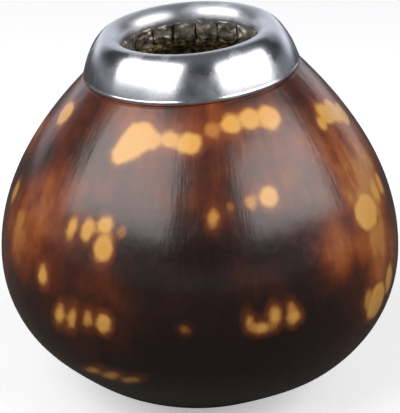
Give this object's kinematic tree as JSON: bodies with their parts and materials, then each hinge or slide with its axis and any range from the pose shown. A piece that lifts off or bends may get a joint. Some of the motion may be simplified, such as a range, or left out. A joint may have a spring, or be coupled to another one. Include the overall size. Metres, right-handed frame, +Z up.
{
  "type": "mate gourd cup",
  "caption": "Empty mate cup: a squat hollow calabash, flame-marked and lacquered dark brown, with a spun aluminium ferrule whose slit inner skirt lines the mouth.",
  "frame": {"origin": "centre of the flat spot underneath that the cup stands on", "axes": "+Z up along the gourd's axis, -X towards the side that the mouth leans to, -Y towards the viewer in front"},
  "size_m": [0.096, 0.096, 0.0924],
  "materials": {
    "gourd": "flame-burned dark brown with pale round spots, clear lacquer over it; raw dark brown inside",
    "ferrule": "spun and polished sheet with light scuffs"
  },
  "bodies": {
    "root": {"gourd": "gourd", "ferrule": "ferrule"}
  },
  "joints": []
}
